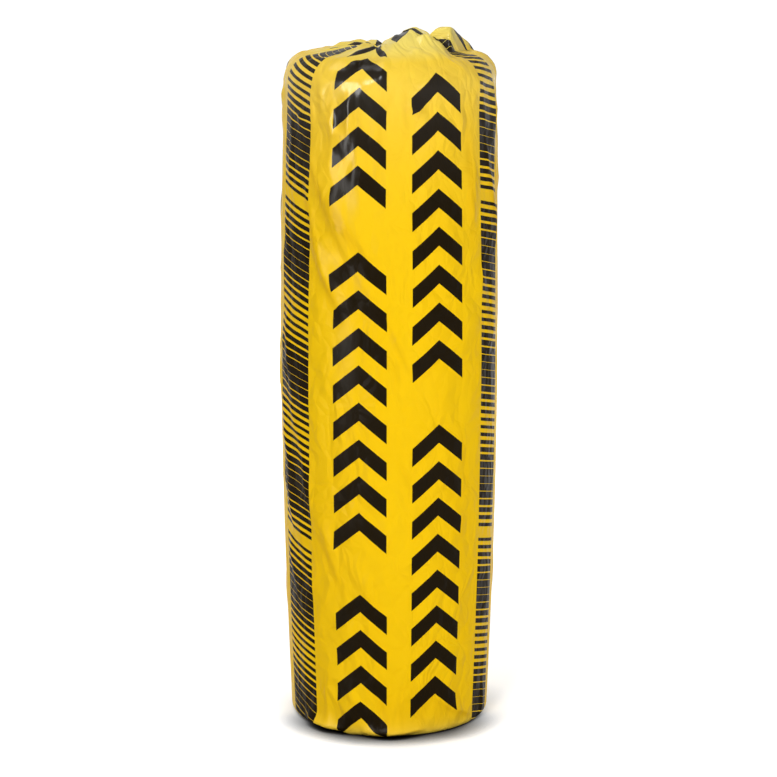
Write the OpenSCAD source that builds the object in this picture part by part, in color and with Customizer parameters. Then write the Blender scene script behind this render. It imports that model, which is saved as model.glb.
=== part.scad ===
// A roll of glass wool insulation, standing on its end in a sleeve of printed film.
// The film is gathered over both ends and tucked down the hollow in the middle of the roll.
// The part stands on z = 0, with its axis on Z and its front towards -Y.

/* [Wool roll] */
// Width of the wool blanket, which is the height of the standing roll
wool_h = 1200; // [600:10:1500]
// Diameter of the roll at its top end
top_d = 365; // [250:1:500]
// Diameter of the roll at its foot
foot_d = 355; // [250:1:500]
// How far the roll swells at mid height, on its radius
belly = 13; // [0:0.5:25]
// Radius of the soft edge round the top end
top_edge_r = 45; // [8:1:60]
// Radius of the edge round the foot
foot_edge_r = 12; // [6:1:50]
// Thickness of one turn of the blanket, pressed together in the roll
turn_t = 16; // [8:1:40]
// Diameter of the hollow down the middle
hollow_d = 46; // [24:1:80]
// Width of the line between two turns, on the ends
turn_line_w = 2; // [1:0.5:4]
// Depth of that line
turn_line_depth = 4; // [1:0.5:10]

/* [Film] */
// Thickness of the film's wall
film_t = 0.5; // [0.3:0.1:1]
// Clearance between the film and the wool
film_gap = 0.3; // [0.2:0.1:1]
// How far the film's two edges are tucked down the hollow
tuck_depth = 60; // [20:1:150]
// Diameter of the hole left in the middle of the tucked film
pucker_d = 12; // [6:1:20]

/* [Gathered top] */
// Height that the film is drawn up to round the tuck
tent_h = 12; // [4:1:40]
// How much higher than that it is drawn at the front, and lower at the back
tent_swing = 6; // [0:1:10]
// Distance of that crest from the axis
crest_r = 44; // [42:1:70]
// Number of pleats that run in from the edge
pleats = 16; // [8:1:20]
// Height of the pleats at the crest
pleat_h = 5; // [0:0.5:10]

/* [Standing folds] */
// Height that the front fold adds to the tent
front_fold_h = 28; // [0:1:60]
// Place of the front fold's top, to the right of the axis
front_fold_x = 42; // [-60:1:60]
// Place of the front fold's top, behind the axis
front_fold_y = -47; // [-60:1:60]
// Height that the right fold adds to the tent
right_fold_h = 33; // [0:1:60]
// Place of the right fold's top, to the right of the axis
right_fold_x = 103; // [-110:1:110]
// Place of the right fold's top, behind the axis
right_fold_y = -12; // [-110:1:110]

/* [Hidden] */
$fn = 96;

// Heights of the wool's two ends, and of the film where it covers them.
wool_z0 = film_t + film_gap;
wool_z1 = wool_z0 + wool_h;
film_z1 = wool_z1 + film_gap + film_t;
// From the wool's surface to the film's outside.
cover = film_gap + film_t;

// Radii of the hollow, and of the film's outside where it is tucked in: that side faces the axis.
hollow_r = hollow_d / 2;
tuck_r = hollow_r - cover;

// Radius of the wool's side at height z: straight from foot to top, with a swell between.
function along(z) = (z - wool_z0) / wool_h;
function wool_r(z) = (foot_d + (top_d - foot_d) * along(z)) / 2 + belly * sin(180 * along(z));

// Steps of the wool's outline: one every so many degrees of an edge, and a few up the swelling side.
edge_step = 18;
side_steps = 8;

// Half outline of the wool without its hollow, from the foot's edge up the side to the top's edge.
foot_edge_z = wool_z0 + foot_edge_r;
top_edge_z = wool_z1 - top_edge_r;
function edge_arc(r, z, edge_r, from, to) =
    [for (a = [from:edge_step:to]) [r + edge_r * cos(a), z + edge_r * sin(a)]];
function side_z(k) = foot_edge_z + (top_edge_z - foot_edge_z) * k / side_steps;
function wool_side() = concat(
    edge_arc(wool_r(foot_edge_z) - foot_edge_r, foot_edge_z, foot_edge_r, -90, 0),
    [for (k = [1:side_steps - 1]) [wool_r(side_z(k)), side_z(k)]],
    edge_arc(wool_r(top_edge_z) - top_edge_r, top_edge_z, top_edge_r, 0, 90));

// The line between the turns is a spiral of half circles, each half a turn wider than the one before.
half_turns = floor(2 * (min(top_d, foot_d) / 2 - max(top_edge_r, foot_edge_r) - hollow_r) / turn_t) - 1;
module turn_line() {
    for (k = [1:1:half_turns]) {
        odd = k % 2;
        translate([odd * turn_t / 2, 0, 0]) rotate([0, 0, 180 * odd]) rotate_extrude(angle = 180)
            translate([hollow_r + k * turn_t / 2 - turn_line_w / 2, -turn_line_depth])
                square([turn_line_w, 2 * turn_line_depth]);
    }
}

module wool_roll() {
    color("khaki") difference() {
        rotate_extrude() polygon(concat([[hollow_r, wool_z0]], wool_side(), [[hollow_r, wool_z1]]));
        for (z = [wool_z0, wool_z1]) translate([0, 0, z]) turn_line();
    }
}

// Facets round the film, a multiple of four so that it is as wide along X as along Y.
around = 80;
// Rings of facets between the crest and the edge.
crown_rings = 11;

// Where the gathered film meets the roll's edge, and how far a radius lies between that and the crest.
crown_r = wool_r(top_edge_z) - top_edge_r;
function inward(r) = max(0, min(1, (crown_r - r) / (crown_r - crest_r)));
function ease(x) = x * x * (3 - 2 * x);

// A standing fold is a mound, long in the direction of its own ridge and narrow across it.
function mound(x, y, ridge, length, width) =
    let (a = x * cos(ridge) + y * sin(ridge), b = y * cos(ridge) - x * sin(ridge))
    exp(-pow(a / length, 2) - pow(b / width, 2));
front_ridge = 75;
front_length = 60;
front_width = 30;
right_ridge = 70;
right_length = 32;
right_width = 20;
function folds(x, y) =
    front_fold_h * mound(x - front_fold_x, y - front_fold_y, front_ridge, front_length, front_width)
    + right_fold_h * mound(x - right_fold_x, y - right_fold_y, right_ridge, right_length, right_width);

// Pleats of uneven height: it swells and sinks a few times on the way round, by a share of itself.
pleat_share = 0.3;
pleat_swells = 3;
pleat_turn = 40;
function pleat(angle) =
    (1 + cos(pleats * angle)) / 2 * (1 - pleat_share + pleat_share * cos(pleat_swells * angle + pleat_turn));

// How far the gathered film is lifted above the wool's end. The folds die away over the outer part of the crown.
fold_fade = 0.25;
tent_front = -70;
tent_low = 2;
function tent(angle) = tent_h + min(tent_swing, tent_h - tent_low) * cos(angle - tent_front);
function lift(r, angle) =
    sin(90 * inward(r)) * tent(angle) + ease(inward(r)) * pleat_h * pleat(angle)
    + min(1, inward(r) / fold_fade) * folds(r * cos(angle), r * sin(angle));

// The film's path from its tucked edge at the top to the one at the foot, on the outside of the wall.
// Each ring is its radius, its height, and the share of the gather's lift that it takes.
pucker_r = pucker_d / 2;
foot_r = wool_r(foot_edge_z) - foot_edge_r;
function film_arc(r, z, edge_r, from, to) =
    [for (a = [from:-edge_step:to]) [r + (edge_r + cover) * cos(a), z + (edge_r + cover) * sin(a), 0]];
throat_r = (tuck_r + crest_r) / 2;
throat_share = 0.6;
film_path = concat(
    [[pucker_r, film_z1 - tuck_depth, 0], [tuck_r, film_z1, 0], [throat_r, film_z1, throat_share]],
    [for (k = [0:crown_rings - 1]) [crest_r + (crown_r - crest_r) * k / crown_rings, film_z1, 1]],
    film_arc(crown_r, top_edge_z, top_edge_r, 90, 0),
    [for (k = [side_steps - 1:-1:1]) [wool_r(side_z(k)) + cover, side_z(k), 0]],
    film_arc(foot_r, foot_edge_z, foot_edge_r, 0, -90),
    [[throat_r, 0, 0], [tuck_r, 0, 0], [pucker_r, tuck_depth, 0]]);
rings = len(film_path);

// The path as it is lifted at one angle, and the direction out of the film's outside, square to it.
function lifted(j, angle) = let (p = film_path[j]) [p.x, p.y + p.z * lift(p.x, angle)];
function outward(j, angle) =
    let (a = lifted(max(0, j - 1), angle), b = lifted(min(rings - 1, j + 1), angle), d = [a.y - b.y, b.x - a.x])
    d / norm(d);

// A point of the film, at a depth below its outside.
function film_point(j, i, depth) =
    let (angle = 360 * i / around, q = lifted(j, angle) - depth * outward(j, angle))
    [q.x * cos(angle), q.x * sin(angle), q.y];

// The two skins, each of two triangles between neighbours, and the rims that join them at the edges.
function at(skin, j, i) = (skin * rings + j) * around + i % around;
function two(a, b, c, d) = [[a, b, c], [a, c, d]];
function skin_faces(skin) = [for (j = [0:rings - 2], i = [0:around - 1],
    f = skin == 0
        ? two(at(0, j, i), at(0, j, i + 1), at(0, j + 1, i + 1), at(0, j + 1, i))
        : two(at(1, j, i), at(1, j + 1, i), at(1, j + 1, i + 1), at(1, j, i + 1))) f];
function rim_faces(j, turned) = [for (i = [0:around - 1],
    f = turned
        ? two(at(0, j, i), at(0, j, i + 1), at(1, j, i + 1), at(1, j, i))
        : two(at(0, j, i), at(1, j, i), at(1, j, i + 1), at(0, j, i + 1))) f];

module film_wrap() {
    color("gold") polyhedron(
        points = [for (skin = [0, 1], j = [0:rings - 1], i = [0:around - 1]) film_point(j, i, skin * film_t)],
        faces = concat(skin_faces(0), skin_faces(1), rim_faces(0, false), rim_faces(rings - 1, true)),
        convexity = 6);
}

wool_roll();
film_wrap();
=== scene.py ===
"""Looks of a roll of glass wool insulation that stands on its end in a sleeve of printed yellow film.

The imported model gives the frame. The wool keeps its solid, and the film is modelled here as the sheet that
it was cut from: rolled round the wool, closed by a lap at the back, and pleated in over both ends to the
hollow in the middle.
"""

import logging
import math
from dataclasses import dataclass, field
from enum import Enum
from typing import Union

import bmesh
import bpy
import numpy as np
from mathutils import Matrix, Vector

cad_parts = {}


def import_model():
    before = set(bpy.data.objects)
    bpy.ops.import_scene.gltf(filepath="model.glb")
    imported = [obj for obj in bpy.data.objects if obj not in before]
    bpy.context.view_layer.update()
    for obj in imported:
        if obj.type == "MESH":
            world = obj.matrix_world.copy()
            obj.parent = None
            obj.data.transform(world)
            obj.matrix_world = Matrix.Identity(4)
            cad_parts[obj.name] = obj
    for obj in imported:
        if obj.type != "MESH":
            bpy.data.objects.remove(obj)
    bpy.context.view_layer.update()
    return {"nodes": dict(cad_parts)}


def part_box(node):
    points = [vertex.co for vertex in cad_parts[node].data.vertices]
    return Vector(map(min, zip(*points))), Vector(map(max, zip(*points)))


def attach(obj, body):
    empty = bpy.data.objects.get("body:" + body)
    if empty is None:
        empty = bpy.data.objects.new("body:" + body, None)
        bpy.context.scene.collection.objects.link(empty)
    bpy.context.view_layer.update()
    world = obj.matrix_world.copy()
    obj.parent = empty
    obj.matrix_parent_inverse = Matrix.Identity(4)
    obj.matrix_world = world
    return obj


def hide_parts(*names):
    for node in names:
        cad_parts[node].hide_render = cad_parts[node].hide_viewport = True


LOG = logging.getLogger("insulation_roll")

Socket = bpy.types.NodeSocket
Fed = Union[Socket, float, tuple]
Point = tuple[float, float, float]
Span = tuple[float, float]

FULL_TURN = 2.0 * math.pi
QUARTER_TURN = 0.5 * math.pi
WHITE = (1.0, 1.0, 1.0, 1.0)
BLACK = (0.0, 0.0, 0.0, 1.0)


def eased(share: np.ndarray) -> np.ndarray:
    """Returns a share of 0 to 1, cut off outside that and eased at both ends."""
    cut = np.clip(share, 0.0, 1.0)
    return cut * cut * (3.0 - 2.0 * cut)


def opaque(colour: Point) -> tuple[float, ...]:
    """Returns a colour that nothing shows through."""
    return (*colour, 1.0)


def grid_mesh(name: str, columns: int, rows: int, half: float) -> bpy.types.Mesh:
    """Makes a flat square mesh.

    Args:
        name: Name of the mesh.
        columns: Number of faces along X.
        rows: Number of faces along Y.
        half: Half its width.

    Returns:
        The new mesh.
    """
    bm = bmesh.new()
    bmesh.ops.create_grid(bm, x_segments=columns, y_segments=rows, size=half)
    mesh = bpy.data.meshes.new(name)
    bm.to_mesh(mesh)
    bm.free()
    return mesh


def add_object(name: str, data: bpy.types.ID) -> bpy.types.Object:
    """Adds an object to the scene.

    Args:
        name: Name of the object.
        data: Its mesh, lamp or camera.

    Returns:
        The new object, at the origin.
    """
    made = bpy.data.objects.new(name, data)
    bpy.context.scene.collection.objects.link(made)
    return made


class Side(Enum):
    """The two ends of the roll, with the sign of their outward direction along Z."""

    TOP = 1
    FOOT = -1


@dataclass(frozen=True)
class RollForm:
    """Sizes of the roll under its film, in metres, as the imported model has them.

    Attributes:
        foot_z: Height of the wool's lower end.
        top_z: Height of the wool's upper end.
        top_d: Diameter at the top end.
        foot_d: Diameter at the foot.
        belly: How far the side swells at mid height, on the radius.
        top_edge_r: Radius of the soft edge round the top end.
        foot_edge_r: Radius of the edge round the foot.
        hollow_d: Diameter of the hollow down the middle.
        cover: Distance from the wool to the outside of the film.
    """

    foot_z: float
    top_z: float
    top_d: float = 0.365
    foot_d: float = 0.355
    belly: float = 0.0130
    top_edge_r: float = 0.045
    foot_edge_r: float = 0.012
    hollow_d: float = 0.046
    cover: float = 0.0008

    @classmethod
    def from_frame(cls) -> "RollForm":
        """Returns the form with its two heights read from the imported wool."""
        low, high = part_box("wool_roll")
        return cls(foot_z=low[2], top_z=high[2])

    @property
    def height(self) -> float:
        """Height of the wool between its ends."""
        return self.top_z - self.foot_z

    @property
    def widest_r(self) -> float:
        """Radius over the film at mid height, which the film's width is cut to."""
        return self.film_r(0.5 * (self.top_z + self.foot_z))

    def film_r(self, z: float) -> float:
        """Returns the film's radius on the side at one height.

        Args:
            z: Height above the floor.

        Returns:
            The radius, straight from foot to top with a swell between.
        """
        along = (z - self.foot_z) / self.height
        straight = 0.5 * (self.foot_d + (self.top_d - self.foot_d) * along)
        return straight + self.belly * math.sin(math.pi * along) + self.cover


@dataclass
class Meridian:
    """The film's path from its tucked edge at the top, down the side, to its tucked edge at the foot.

    Attributes:
        form: The roll that the film lies on.
        tent_h: Height that the film is drawn up to round the tuck at the top.
        crest_r: Distance of that crest from the axis.
        pucker_r: Radius of the tucked edges.
        tuck_depth: How far they reach down the hollow, from the crest or the foot.
        throat_rows: Rows of the film from the tucked edge to the crest.
        crown_rows: Rows from the crest to the shoulder.
        shoulder_rows: Rows round the top end's edge.
        heel_rows: Rows round the foot's edge.
        side_rows: Rows down the side.
        sole_rows: Rows under the foot.
        tuck_rows: Rows of the tuck at the foot.
        top_crowding: How much closer the rows lie at the side's upper end, and the share of the side over
            which that dies away.
        foot_crowding: The same at its lower end.
        crowding_steps: Steps in which the crowding is added up.
        r: Radius of each row.
        z: Height of each row.
    """

    form: RollForm
    tent_h: float = 0.010
    crest_r: float = 0.046
    pucker_r: float = 0.009
    tuck_depth: float = 0.075
    throat_rows: int = 7
    crown_rows: int = 34
    shoulder_rows: int = 13
    heel_rows: int = 5
    side_rows: int = 130
    sole_rows: int = 7
    tuck_rows: int = 3
    top_crowding: Span = (1.2, 0.08)
    foot_crowding: Span = (3.0, 0.02)
    crowding_steps: int = 2000
    r: np.ndarray = field(init=False)
    z: np.ndarray = field(init=False)

    def __post_init__(self) -> None:
        """Lays the path's points out, one for each row of the film."""
        points = [*self.throat(), *self.crown(), *self.shoulder(), *self.wall(), *self.heel(), *self.sole()]
        self.r = np.array([p[0] for p in points])
        self.z = np.array([p[1] for p in points])

    @property
    def film_top(self) -> float:
        """Height of the film where it lies flat on the wool's upper end."""
        return self.form.top_z + self.form.cover

    @property
    def crown_r(self) -> float:
        """Radius where the upper end's flat part meets its soft edge."""
        return self.form.film_r(self.shoulder_z) - self.shoulder_r

    @property
    def shoulder_z(self) -> float:
        """Height at which the side meets the top end's soft edge."""
        return self.form.top_z - self.form.top_edge_r

    @property
    def shoulder_r(self) -> float:
        """Radius of the top end's soft edge, over the film."""
        return self.form.top_edge_r + self.form.cover

    @property
    def sole_r(self) -> float:
        """Radius where the foot's flat part meets its edge."""
        return self.form.film_r(self.heel_z) - self.heel_r

    @property
    def heel_z(self) -> float:
        """Height at which the side meets the foot's edge."""
        return self.form.foot_z + self.form.foot_edge_r

    @property
    def heel_r(self) -> float:
        """Radius of the foot's edge, over the film."""
        return self.form.foot_edge_r + self.form.cover

    @staticmethod
    def arc(centre: Span, radius: float, turns: np.ndarray) -> list[Span]:
        """Returns the points of a circle at the given angles."""
        return [(centre[0] + radius * math.cos(t), centre[1] + radius * math.sin(t)) for t in turns]

    def throat(self) -> list[Span]:
        """Lays out the throat, from the tucked edge up to the crest.

        Returns:
            Points of a quarter ellipse, without the crest.
        """
        turns = np.linspace(QUARTER_TURN, 0.0, self.throat_rows, endpoint=False)
        reach = self.crest_r - self.pucker_r
        crest_z = self.film_top + self.tent_h
        return [(self.pucker_r + reach * (1 - math.sin(t)), crest_z - self.tuck_depth * (1 - math.cos(t)))
                for t in turns]

    def crown(self) -> list[Span]:
        """Lays out the tent that slopes from the crest down to the soft edge.

        Returns:
            Its points, without the one on the edge.
        """
        shares = np.linspace(1.0, 0.0, self.crown_rows, endpoint=False)
        return [(self.crown_r - (self.crown_r - self.crest_r) * s,
                 self.film_top + self.tent_h * math.sin(QUARTER_TURN * s)) for s in shares]

    def shoulder(self) -> list[Span]:
        """Returns the quarter circle round the upper end's edge."""
        turns = np.linspace(QUARTER_TURN, 0.0, self.shoulder_rows, endpoint=False)
        return self.arc((self.crown_r, self.shoulder_z), self.shoulder_r, turns)

    def wall(self) -> list[Span]:
        """Lays out the side, with its rows closer together towards the two ends.

        Returns:
            Its points, from the shoulder down to the heel.
        """
        fine = np.linspace(0.0, 1.0, self.crowding_steps + 1)
        (top, top_reach), (foot, foot_reach) = self.top_crowding, self.foot_crowding
        crowding = 1.0 + top * np.exp(-fine / top_reach) + foot * np.exp(-(1.0 - fine) / foot_reach)
        counted = np.cumsum(crowding)
        places = np.linspace(counted[0], counted[-1], self.side_rows)
        shares = np.interp(places, counted, fine)
        heights = self.shoulder_z + (self.heel_z - self.shoulder_z) * shares
        return [(self.form.film_r(z), z) for z in heights]

    def heel(self) -> list[Span]:
        """Returns the quarter circle round the foot's edge."""
        turns = np.linspace(0.0, -QUARTER_TURN, self.heel_rows + 1)[1:]
        return self.arc((self.sole_r, self.heel_z), self.heel_r, turns)

    def sole(self) -> list[Span]:
        """Lays out the flat ring under the foot and the tuck in its middle.

        Returns:
            Their points, from the heel in to the tucked edge.
        """
        mouth = 0.5 * self.form.hollow_d - self.form.cover
        ring = [(r, 0.0) for r in np.linspace(self.sole_r, mouth, self.sole_rows + 1)[1:]]
        rise = np.linspace(0.0, 1.0, self.tuck_rows + 1)[1:]
        tuck = [(mouth + (self.pucker_r - mouth) * k, self.tuck_depth * k) for k in rise]
        return ring + tuck

    def lengths(self) -> np.ndarray:
        """Measures along the film.

        Returns:
            The place of each row, counted so that it equals the height at mid side.
        """
        steps = np.hypot(np.diff(self.r), np.diff(self.z))
        down = np.concatenate(([0.0], np.cumsum(steps)))
        middle = int(np.argmin(np.abs(self.z - 0.5 * self.form.height) + (self.r < self.crest_r)))
        return self.z[middle] + down[middle] - down

    def outward(self) -> tuple[np.ndarray, np.ndarray]:
        """Works out the direction out of the film.

        Returns:
            Its radial and its upright parts, one of each for each row.
        """
        tangent_r, tangent_z = np.gradient(self.r), np.gradient(self.z)
        size = np.hypot(tangent_r, tangent_z)
        return -tangent_z / size, tangent_r / size

    def gather(self, side: Side) -> np.ndarray:
        """Returns how far each row is gathered at one end, from 0 on the side to 1 at the hollow.

        Args:
            side: The end to look at.

        Returns:
            A share for each row.
        """
        middle = 0.5 * self.form.height
        here = (self.z - middle) * side.value > 0
        start = self.crown_r + 0.5 * self.form.top_edge_r
        return np.where(here, np.clip((start - self.r) / (start - self.crest_r), 0.0, 1.0), 0.0)


@dataclass(frozen=True)
class Pleat:
    """One knife pleat of a gathered end. The edge of its fold points left, seen from outside the roll.

    Attributes:
        left: Azimuth where it ends, in degrees from the front, positive to the right.
        right: Azimuth where it starts.
        height: How far the edge of its fold stands off the film below it, in metres.
        overlap: How far it is laid over, where 1 is just upright.
        begin: Share of the gather at which it begins.
    """

    left: float
    right: float
    height: float
    overlap: float
    begin: float


TOP_PLEATS = (
    Pleat(-41, 21, 0.0040, 1.5, 0.05),
    Pleat(21, 44, 0.0020, 1.5, 0.25),
    Pleat(44, 100, 0.0050, 1.5, 0.12),
    Pleat(100, 120, 0.0040, 1.5, 0.30),
    Pleat(120, 142, 0.0040, 1.7, 0.20),
    Pleat(142, 168, 0.0050, 2.0, 0.10),
    Pleat(168, 190, 0.0040, 1.8, 0.25),
    Pleat(190, 216, 0.0060, 2.1, 0.10),
    Pleat(216, 236, 0.0040, 1.6, 0.30),
    Pleat(236, 264, 0.0050, 1.9, 0.15),
    Pleat(264, 319, 0.0045, 1.6, 0.15),
)


@dataclass(frozen=True)
class Flap:
    """A fold of film that stands up out of the gathered top, with flat flanks that meet in creases.

    Attributes:
        peak: Place of its middle, in metres from the axis.
        half: Half the width and depth of its flat top.
        lift: Height that it adds.
        left: Slope of its left flank, as rise over run.
        right: Slope of its right flank.
        front: Slope of its front.
        back: Slope of its back.
        lean: How far its top hangs over, to the right and to the rear.
        soft: Roundness of its creases.
        turn: How far it is turned about the upright, in degrees.
        tilt: Slope of its top, which rises to the right.
        drag: How far across the flat sheet the film in it is drawn from.
        on_others: Whether it is a crumple in another flap and adds to its height.
    """

    peak: Span
    half: Span
    lift: float
    left: float
    right: float
    front: float
    back: float
    lean: Span = (0.0, 0.0)
    soft: float = 0.0012
    turn: float = 0.0
    tilt: float = 0.0
    drag: float = 0.0
    on_others: bool = False

    def height(self, x: np.ndarray, y: np.ndarray) -> np.ndarray:
        """Returns the height that it adds at each point of the top.

        Args:
            x: Places to the right of the axis.
            y: Places to the rear of it.

        Returns:
            Heights, from 0 outside the flap to its lift.
        """
        angle = math.radians(self.turn)
        across = (x - self.peak[0]) * math.cos(angle) + (y - self.peak[1]) * math.sin(angle)
        behind = (y - self.peak[1]) * math.cos(angle) - (x - self.peak[0]) * math.sin(angle)
        drops = ((-across - self.half[0]) * self.left, (across - self.half[0]) * self.right,
                 (-behind - self.half[1]) * self.front, (behind - self.half[1]) * self.back)
        level = -self.tilt * across / self.soft
        for drop in drops:
            level = np.logaddexp(level, drop / self.soft)
        return self.soft * np.logaddexp(0.0, self.lift / self.soft - level)


TOP_FLAPS = (
    # The fold in front, the one to the right of it, and a low one to the left.
    Flap((0.045, -0.045), (0.001, 0.002), 0.037, 0.55, 0.62, 0.30, 1.10, soft=0.0008),
    Flap((0.101, -0.004), (0.011, 0.008), 0.038, 1.50, 3.60, 1.20, 0.45,
         lean=(-0.002, -0.014), soft=0.0024, turn=-22.0, tilt=0.25, drag=0.022),
    Flap((-0.026, -0.100), (0.004, 0.002), 0.010, 0.10, 0.30, 0.20, 1.20, lean=(0.0, 0.006), soft=0.0006),
    # Crumples in the front of the first one.
    Flap((0.062, -0.088), (0.004, 0.001), 0.009, 0.75, 0.80, 0.55, 1.10,
         soft=0.0005, turn=20.0, on_others=True),
    Flap((0.088, -0.070), (0.003, 0.001), 0.008, 0.80, 0.60, 0.70, 0.90,
         soft=0.0005, turn=-25.0, on_others=True),
    Flap((0.045, -0.128), (0.003, 0.002), 0.006, 0.55, 0.75, 0.50, 0.60,
         soft=0.0005, turn=-12.0, on_others=True),
    # Low folds at the back.
    Flap((-0.068, 0.044), (0.018, 0.004), 0.0085, 0.55, 0.50, 0.35, 0.50, soft=0.0010, turn=12.0),
    Flap((0.040, 0.080), (0.003, 0.002), 0.006, 0.30, 0.20, 0.60, 0.25, soft=0.0006, turn=-20.0),
)


@dataclass(frozen=True)
class Crease:
    """A fold of the film on the side of the roll.

    Attributes:
        azimuth: Azimuths of its two ends, in degrees from the front.
        height: Heights of its two ends, in metres.
        width: How far it reaches on either side: left and right of one that runs down, below and above one
            that runs to the right.
        rise: How far it stands out.
        double: How much of the film beside it lies in two layers, from 0 to 1, which the finish paints darker
            as shade on that flank.
    """

    azimuth: Span
    height: Span
    width: Span
    rise: float
    double: float = 1.0

    @property
    def tuck(self) -> float:
        """How much film it takes in from either side."""
        return 0.5 * self.rise


FRONT_CREASES = (
    # Slanted folds at the left, and those round the shoulder.
    Crease((-49, -20), (1.055, 0.864), (0.010, 0.036), 0.0080),
    Crease((-47, -22), (0.912, 0.748), (0.010, 0.034), 0.0074),
    Crease((-35, -8), (0.985, 0.860), (0.015, 0.034), 0.0060),
    Crease((-62, -50), (1.120, 1.060), (0.006, 0.012), 0.0040),
    Crease((0, 23), (1.142, 1.106), (0.006, 0.013), 0.0078, double=0.0),
    Crease((-31, -3), (1.207, 1.210), (0.007, 0.009), 0.0042, double=0.0),
    Crease((36, 52), (1.222, 1.160), (0.006, 0.011), 0.0050, double=0.3),
    Crease((47, 51), (1.130, 0.860), (0.012, 0.009), 0.0050),
    # Slanted folds at mid height and lower down.
    Crease((-2, 13), (0.770, 0.655), (0.006, 0.016), 0.0042),
    Crease((-42, -22), (0.395, 0.250), (0.010, 0.026), 0.0046),
    Crease((-26, -6), (0.345, 0.235), (0.013, 0.030), 0.0032),
    Crease((-46, -32), (0.270, 0.215), (0.005, 0.010), 0.0026),
    Crease((-44, -28), (0.240, 0.190), (0.005, 0.010), 0.0024),
    # Folds at the foot, and the two lips of film that stand out at the heel.
    Crease((-41, -15), (0.090, 0.015), (0.006, 0.014), 0.0036),
    Crease((-36, -8), (0.115, 0.030), (0.006, 0.014), 0.0030),
    Crease((20, 45), (0.085, 0.030), (0.008, 0.020), 0.0044),
    Crease((-60, -24), (0.014, 0.011), (0.006, 0.012), 0.0150, double=0.0),
    Crease((-17, 22), (0.011, 0.014), (0.006, 0.012), 0.0140, double=0.0),
    Crease((38, 56), (0.045, 0.018), (0.006, 0.010), 0.0050),
    # A long fold at the right.
    Crease((38, 52), (0.620, 0.340), (0.008, 0.020), 0.0026),
)


class Run(Enum):
    """Ways in which a crease runs, which say what its heights count from."""

    FROM_SHOULDER = "down from the shoulder"
    DOWN = "down from any height"
    TO_FOOT = "down to the foot"
    ROUND_SHOULDER = "round the roll near the shoulder"


@dataclass(frozen=True)
class CreaseSpread:
    """A spread of like creases, whose values are drawn at random.

    Attributes:
        run: How they run.
        count: How many there are.
        spans: Span of each value by its name, in the order of the draws: the azimuth and height at which a
            crease begins, the degrees that it turns through, its length or the height that it climbs, its two
            widths and its rise.
        foot: Height at which those end that run down to the foot.
    """

    run: Run
    count: int
    spans: dict[str, Span]
    foot: float = 0.002

    def ends(self, value: dict[str, float], shoulder: float) -> Span:
        """Returns the heights of a crease's two ends.

        Args:
            value: The crease's drawn values.
            shoulder: Height of the shoulder.

        Returns:
            Where it begins and where it ends.
        """
        if self.run is Run.TO_FOOT:
            return self.foot + value["length"], self.foot
        if self.run is Run.DOWN:
            return value["start"], value["start"] - value["length"]
        start = shoulder + value["start"]
        if self.run is Run.FROM_SHOULDER:
            return start, shoulder - value["length"]
        return start, start + value["climb"]

    def drawn(self, random: np.random.Generator, shoulder: float) -> list[Crease]:
        """Draws the creases.

        Args:
            random: Where the draws come from.
            shoulder: Height of the shoulder.

        Returns:
            The creases.
        """
        found = []
        for _ in range(self.count):
            value = {name: random.uniform(*span) for name, span in self.spans.items()}
            azimuth = (value["azimuth"], value["azimuth"] + value["turn"])
            width = (value["left"], value["right"])
            found.append(Crease(azimuth, self.ends(value, shoulder), width, value["rise"]))
        return found


SIDE_SPREADS = (
    CreaseSpread(Run.FROM_SHOULDER, 64, {
        "azimuth": (-180, 180), "length": (0.04, 0.20), "turn": (-6, 6), "start": (-0.01, 0.05),
        "left": (0.005, 0.009), "right": (0.006, 0.014), "rise": (0.0010, 0.0034)}),
    CreaseSpread(Run.DOWN, 44, {
        "azimuth": (56, 312), "start": (0.25, 1.1), "length": (0.12, 0.30), "turn": (6, 26),
        "left": (0.006, 0.010), "right": (0.015, 0.035), "rise": (0.0020, 0.0058)}),
    CreaseSpread(Run.TO_FOOT, 56, {
        "azimuth": (-180, 180), "length": (0.03, 0.12), "turn": (-10, 10),
        "left": (0.005, 0.008), "right": (0.005, 0.012), "rise": (0.0010, 0.0034)}),
    CreaseSpread(Run.DOWN, 60, {
        "azimuth": (-180, 180), "start": (0.10, 1.12), "length": (0.03, 0.09), "turn": (3, 14),
        "left": (0.005, 0.007), "right": (0.007, 0.014), "rise": (0.0012, 0.0030)}),
    CreaseSpread(Run.ROUND_SHOULDER, 44, {
        "azimuth": (-180, 180), "start": (-0.08, 0.04), "turn": (6, 18), "climb": (-0.014, 0.014),
        "left": (0.004, 0.006), "right": (0.004, 0.010), "rise": (0.0008, 0.0028)}),
)


@dataclass(frozen=True)
class CreaseProfile:
    """The section that all creases share.

    Attributes:
        taper: Power by which a crease tapers towards its ends.
        flank: Power by which its flanks fall.
        double_shade_at: Place of the middle of the two layers, and of the painted shade on them, in widths of
            the side that they lie on.
        double_shade_reach: How far they reach on either side of that, in the same widths.
        full_rise: Rise from which on the film lies fully in two layers, with the full painted shade.
        ridge: Half the width of the ridge, between the film that is drawn in from either side.
        pull_reach: Distance at which the film is still drawn in, in widths.
    """

    taper: float = 0.8
    flank: float = 1.2
    double_shade_at: float = 0.6
    double_shade_reach: float = 0.7
    full_rise: float = 0.006
    ridge: float = 0.004
    pull_reach: float = 2.0


@dataclass(frozen=True)
class RidgeSet:
    """A set of ridges that run over the film at random and crumple it where they cross.

    Attributes:
        count: How many there are.
        waves: Fewest times that one comes round the roll, and the number that it stays under.
        climb: Steepest that one runs.
        depth: How much one adds, as a share.
    """

    count: int
    waves: tuple[int, int]
    climb: float
    depth: float


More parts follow.
